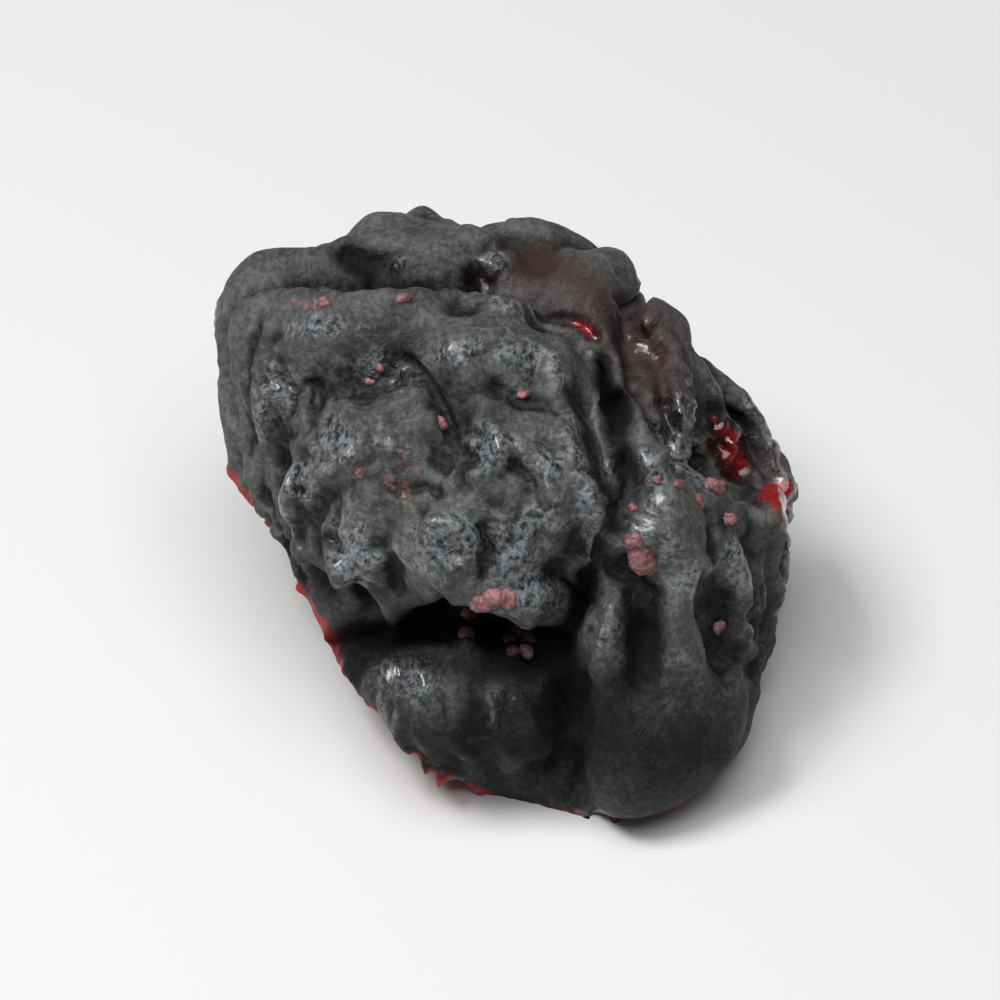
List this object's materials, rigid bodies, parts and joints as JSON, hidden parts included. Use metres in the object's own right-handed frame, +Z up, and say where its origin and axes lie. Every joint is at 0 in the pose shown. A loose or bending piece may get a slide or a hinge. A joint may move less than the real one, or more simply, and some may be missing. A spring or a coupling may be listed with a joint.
{
  "type": "dried plum half",
  "caption": "Half of a stoned plum, dried until its dark skin has folded and wrinkled, lying cut side down on its curled edge.",
  "frame": {"origin": "under the middle of the bounding box, on the surface the fruit lies on", "axes": "+Z up; +Y from the low front edge to the high back; +X to the right of the front"},
  "size_m": [0.0396, 0.044, 0.0301],
  "materials": {
    "fruit": "dark wrinkled dried skin with a soft shine"
  },
  "bodies": {
    "root": {"dried_plum": "fruit"}
  },
  "joints": []
}
